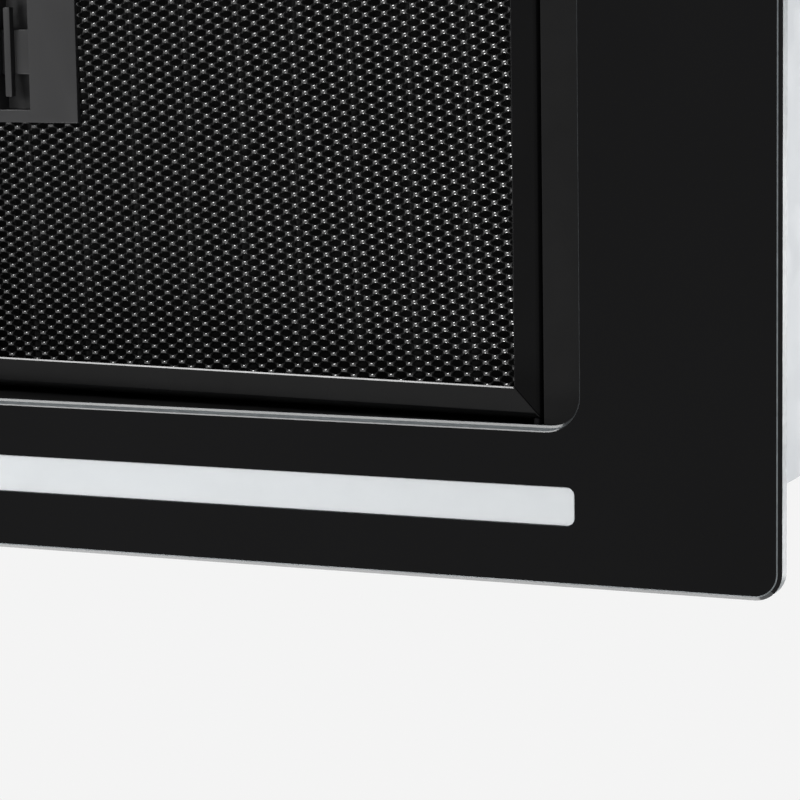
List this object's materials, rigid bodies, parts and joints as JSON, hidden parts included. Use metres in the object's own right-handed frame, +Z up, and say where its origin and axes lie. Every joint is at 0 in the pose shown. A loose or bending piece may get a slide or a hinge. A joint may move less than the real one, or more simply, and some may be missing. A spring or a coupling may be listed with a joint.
{
  "type": "range hood",
  "caption": "Built-in range hood with a black glass underside, a light bar and hinged mesh grease filters, and a sheet metal housing with a blower and a damped round outlet.",
  "frame": {"origin": "middle of the plane in which the folded edge of the filter tray meets the cabinet's underside", "axes": "+Z up, +X along the hood's width, -Y towards the cook"},
  "size_m": [0.57, 0.3, 0.291],
  "materials": {
    "black_glass": "gloss",
    "opal_plastic": "satin",
    "black_steel": "satin",
    "filter_frame": "satin",
    "filter_mesh": "satin",
    "latch_plastic": "satin",
    "spring_steel": "satin",
    "zinc_steel": "satin",
    "aluminium": "satin",
    "circuit_board": "satin",
    "bond_tape": "matte",
    "grey_plastic": "satin",
    "black_plastic": "satin",
    "motor_metal": "satin",
    "dark_rubber": "matte",
    "screw_steel": "satin",
    "component_plastic": "gloss",
    "white_plastic": "satin"
  },
  "bodies": {
    "hood": {"glass_panel": "black_glass", "glass_bond_tape": "bond_tape", "filter_tray": "black_steel", "centre_bar": "black_steel", "light_diffuser": "opal_plastic", "led_heat_sink": "aluminium", "light_end_caps": "white_plastic", "led_board": "white_plastic", "led_straps": "zinc_steel", "touch_board": "circuit_board", "housing_wrap": "zinc_steel", "housing_back": "zinc_steel", "housing_top": "zinc_steel", "base_rivets": "screw_steel", "cabinet_clips": "spring_steel", "scroll_left": "grey_plastic", "scroll_right": "grey_plastic", "motor_body": "motor_metal", "motor_bracket": "zinc_steel", "motor_grommets": "dark_rubber", "motor_screws": "screw_steel", "inlet_guard": "black_plastic", "outlet_collar": "black_plastic", "damper_rods": "screw_steel", "electronics_box": "white_plastic", "electronics_lid": "white_plastic", "control_board": "circuit_board", "board_components": "component_plastic", "capacitor": "aluminium", "cable_gland": "black_plastic", "led_driver": "black_plastic", "led_cable": "dark_rubber", "motor_cable": "dark_rubber", "housing_screws": "screw_steel"},
    "impeller": {"impeller": "black_plastic", "motor_shaft": "screw_steel", "impeller_nut": "screw_steel"},
    "damper_front": {"damper_flap_front": "grey_plastic"},
    "damper_rear": {"damper_flap_rear": "grey_plastic"},
    "filter_left": {"filter_left_front_rail": "filter_frame", "filter_left_rear_rail": "filter_frame", "filter_left_outer_rail": "filter_frame", "filter_left_inner_rail": "filter_frame", "filter_left_mesh_face": "filter_mesh", "filter_left_mesh_pack": "filter_mesh", "filter_left_pivot_rod": "screw_steel", "filter_left_latch_case": "latch_plastic", "filter_left_latch_spring": "spring_steel"},
    "latch_left": {"filter_left_latch_slider": "latch_plastic"},
    "filter_right": {"filter_right_front_rail": "filter_frame", "filter_right_rear_rail": "filter_frame", "filter_right_outer_rail": "filter_frame", "filter_right_inner_rail": "filter_frame", "filter_right_mesh_face": "filter_mesh", "filter_right_mesh_pack": "filter_mesh", "filter_right_pivot_rod": "screw_steel", "filter_right_latch_case": "latch_plastic", "filter_right_latch_spring": "spring_steel"},
    "latch_right": {"filter_right_latch_slider": "latch_plastic"}
  },
  "joints": [
    {"name": "filter_left_swing", "type": "hinge", "parent": "hood", "child": "filter_left", "pos_m": [-0.2075, 0.003, 0.0045], "axis": [0, 1, 0], "range_deg": [0, 65]},
    {"name": "latch_left_slide", "type": "slide", "parent": "filter_left", "child": "latch_left", "axis": [-0.9966, 0, -0.0819], "range_m": [0, 0.005], "stiffness_N_per_m": 300, "springref_m": -0.004, "deforming": ["filter_left_latch_spring"]},
    {"name": "filter_right_swing", "type": "hinge", "parent": "hood", "child": "filter_right", "pos_m": [0.2075, 0.003, 0.0045], "axis": [0, -1, 0], "range_deg": [0, 65]},
    {"name": "latch_right_slide", "type": "slide", "parent": "filter_right", "child": "latch_right", "axis": [0.9966, 0, -0.0819], "range_m": [0, 0.005], "stiffness_N_per_m": 300, "springref_m": -0.004, "deforming": ["filter_right_latch_spring"]},
    {"name": "impeller_spin", "type": "hinge", "parent": "hood", "child": "impeller", "pos_m": [0, 0.0455, 0.146], "axis": [1, 0, 0], "continuous": true},
    {"name": "damper_front_swing", "type": "hinge", "parent": "hood", "child": "damper_front", "pos_m": [0, -0.004, 0.236], "axis": [-1, 0, 0], "range_deg": [0, 80]},
    {"name": "damper_rear_swing", "type": "hinge", "parent": "hood", "child": "damper_rear", "pos_m": [0, 0.004, 0.236], "axis": [1, 0, 0], "range_deg": [0, 80]}
  ]
}
